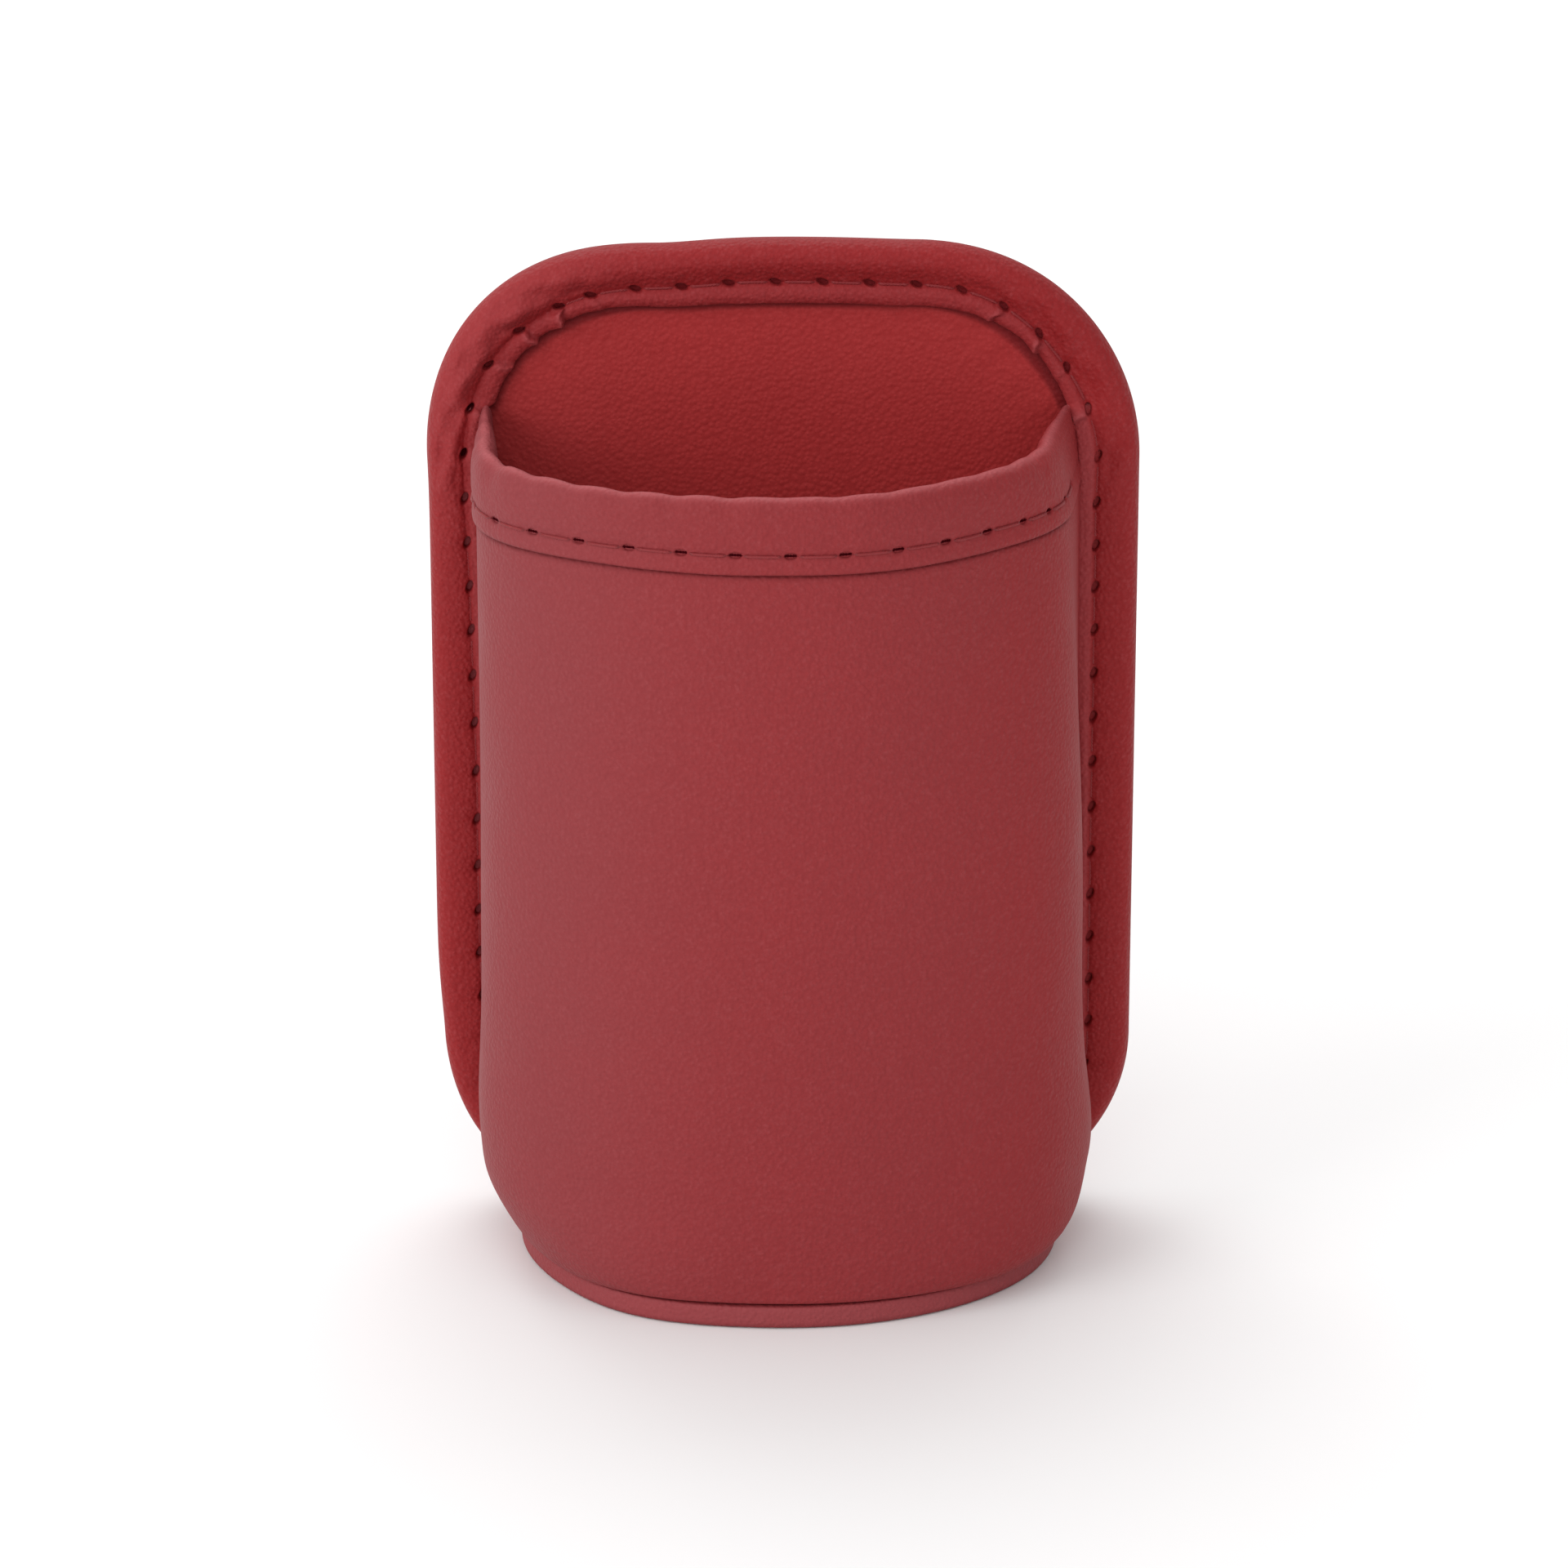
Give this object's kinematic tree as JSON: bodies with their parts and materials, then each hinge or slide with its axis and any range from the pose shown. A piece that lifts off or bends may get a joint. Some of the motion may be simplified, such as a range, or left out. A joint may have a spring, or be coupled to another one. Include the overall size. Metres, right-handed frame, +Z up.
{
  "type": "leather cup",
  "caption": "Sewn leather cup: an open-topped bowed pocket on a taller padded back panel with a rolled edge, a bound rim and a covered flat base.",
  "frame": {"origin": "on the surface the cup stands on, under the middle of its outline seen from above", "axes": "+Z up, out of the open top; -Y out of the bowed front; +Y out of the flat back; +X to the right seen from the front"},
  "size_m": [0.074, 0.0382, 0.1074],
  "materials": {
    "cover_leather": "matte",
    "lining_leather": "matte",
    "thread": "satin",
    "foam": "matte",
    "board": "matte",
    "card": "matte"
  },
  "bodies": {
    "root": {"back_cover": "cover_leather", "edge_roll_filler": "foam", "back_foam": "foam", "back_board": "board", "back_lining": "lining_leather", "front_panel": "cover_leather", "front_stiffener": "card", "front_lining": "lining_leather", "rim_binding": "cover_leather", "rim_needle_thread": "thread", "rim_bobbin_thread": "thread", "panel_needle_thread": "thread", "panel_bobbin_thread": "thread", "base_cover": "cover_leather", "base_board": "board", "base_lining": "lining_leather"}
  },
  "joints": []
}
